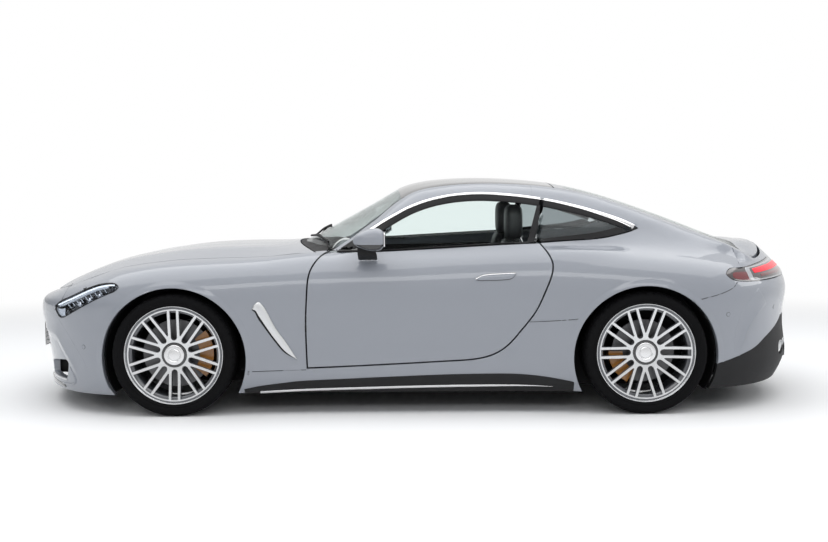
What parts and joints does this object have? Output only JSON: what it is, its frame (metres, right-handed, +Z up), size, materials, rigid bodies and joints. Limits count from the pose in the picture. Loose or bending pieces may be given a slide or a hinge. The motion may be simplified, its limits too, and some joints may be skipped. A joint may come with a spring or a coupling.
{
  "type": "coupe car",
  "caption": "Low two-door coupe with a long bonnet, a sloping rear window in a lifting tailgate, opening doors and turned-spoke alloy wheels.",
  "frame": {"origin": "on the ground under the middle of the overall length, on the middle plane", "axes": "+X forward, +Y to the car's left, +Z up"},
  "size_m": [4.7217, 2.1, 1.354],
  "materials": {
    "paint": "gloss",
    "black_gloss": "gloss",
    "black_plastic": "matte",
    "chassis": "satin",
    "engine": "satin",
    "bright": "polished",
    "lamp_clear": "gloss",
    "lamp_red": "gloss",
    "glass": "gloss",
    "leather": "satin",
    "trim": "matte",
    "caliper": "satin",
    "tyre": "matte",
    "alloy": "satin",
    "disc": "machined"
  },
  "bodies": {
    "body": {"underbody": "chassis", "front_suspension": "chassis", "rear_suspension": "chassis", "rear_hub_carriers": "chassis", "engine_block": "engine", "radiator": "engine", "hinge_pins": "chassis", "front_bumper": "paint", "front_wings": "paint", "rear_quarters": "paint", "roof_rails": "paint", "rear_bumper": "paint", "rear_panel": "paint", "side_sills": "paint", "roof_panel": "black_gloss", "front_grille": "black_gloss", "rear_diffuser": "black_plastic", "cowl_panel": "black_plastic", "exhaust_tips": "bright", "headlamps": "lamp_clear", "tail_lamps": "lamp_red", "windscreen": "glass", "quarter_windows": "glass", "front_seats": "leather", "rear_seat": "leather", "dashboard": "trim", "centre_console": "trim", "steering_wheel": "trim", "rear_calipers": "caliper"},
    "left_door": {"left_door": "paint", "left_door_glass": "glass", "left_mirror": "paint"},
    "right_door": {"right_door": "paint", "right_door_glass": "glass", "right_mirror": "paint"},
    "bonnet": {"bonnet": "paint"},
    "tailgate": {"tailgate": "paint", "rear_glass": "glass"},
    "left_upright": {"front_left_knuckle": "chassis", "front_left_caliper": "caliper"},
    "right_upright": {"front_right_knuckle": "chassis", "front_right_caliper": "caliper"},
    "front_left_wheel": {"front_left_tyre": "tyre", "front_left_rim": "alloy", "front_left_disc": "disc"},
    "front_right_wheel": {"front_right_tyre": "tyre", "front_right_rim": "alloy", "front_right_disc": "disc"},
    "rear_left_wheel": {"rear_left_tyre": "tyre", "rear_left_rim": "alloy", "rear_left_disc": "disc"},
    "rear_right_wheel": {"rear_right_tyre": "tyre", "rear_right_rim": "alloy", "rear_right_disc": "disc"}
  },
  "joints": [
    {"name": "steer_left", "type": "hinge", "parent": "body", "child": "left_upright", "pos_m": [1.374, 0.793, 0.352], "axis": [0, 0, 1], "range_deg": [-33, 33]},
    {"name": "steer_right", "type": "hinge", "parent": "body", "child": "right_upright", "pos_m": [1.374, -0.793, 0.352], "axis": [0, 0, 1], "range_deg": [-33, 33]},
    {"name": "front_left_spin", "type": "hinge", "parent": "left_upright", "child": "front_left_wheel", "pos_m": [1.374, 0.825, 0.352], "axis": [0, 1, 0], "continuous": true},
    {"name": "front_right_spin", "type": "hinge", "parent": "right_upright", "child": "front_right_wheel", "pos_m": [1.374, -0.825, 0.352], "axis": [0, 1, 0], "continuous": true},
    {"name": "rear_left_spin", "type": "hinge", "parent": "body", "child": "rear_left_wheel", "pos_m": [-1.326, 0.825, 0.352], "axis": [0, 1, 0], "continuous": true},
    {"name": "rear_right_spin", "type": "hinge", "parent": "body", "child": "rear_right_wheel", "pos_m": [-1.326, -0.825, 0.352], "axis": [0, 1, 0], "continuous": true},
    {"name": "left_door_swing", "type": "hinge", "parent": "body", "child": "left_door", "pos_m": [0.6185, 0.932, 0.555], "axis": [0, 0, -1], "range_deg": [0, 62]},
    {"name": "right_door_swing", "type": "hinge", "parent": "body", "child": "right_door", "pos_m": [0.6185, -0.932, 0.555], "axis": [0, 0, 1], "range_deg": [0, 62]},
    {"name": "bonnet_lift", "type": "hinge", "parent": "body", "child": "bonnet", "pos_m": [0.57295, 0, 0.92274], "axis": [0, -1, 0], "range_deg": [0, 50]},
    {"name": "tailgate_lift", "type": "hinge", "parent": "body", "child": "tailgate", "pos_m": [-0.8405, 0, 1.31783], "axis": [0, 1, 0], "range_deg": [0, 72]}
  ],
  "couplings": [
    {"joint": "steer_right", "follows": "steer_left", "ratio": 1}
  ]
}
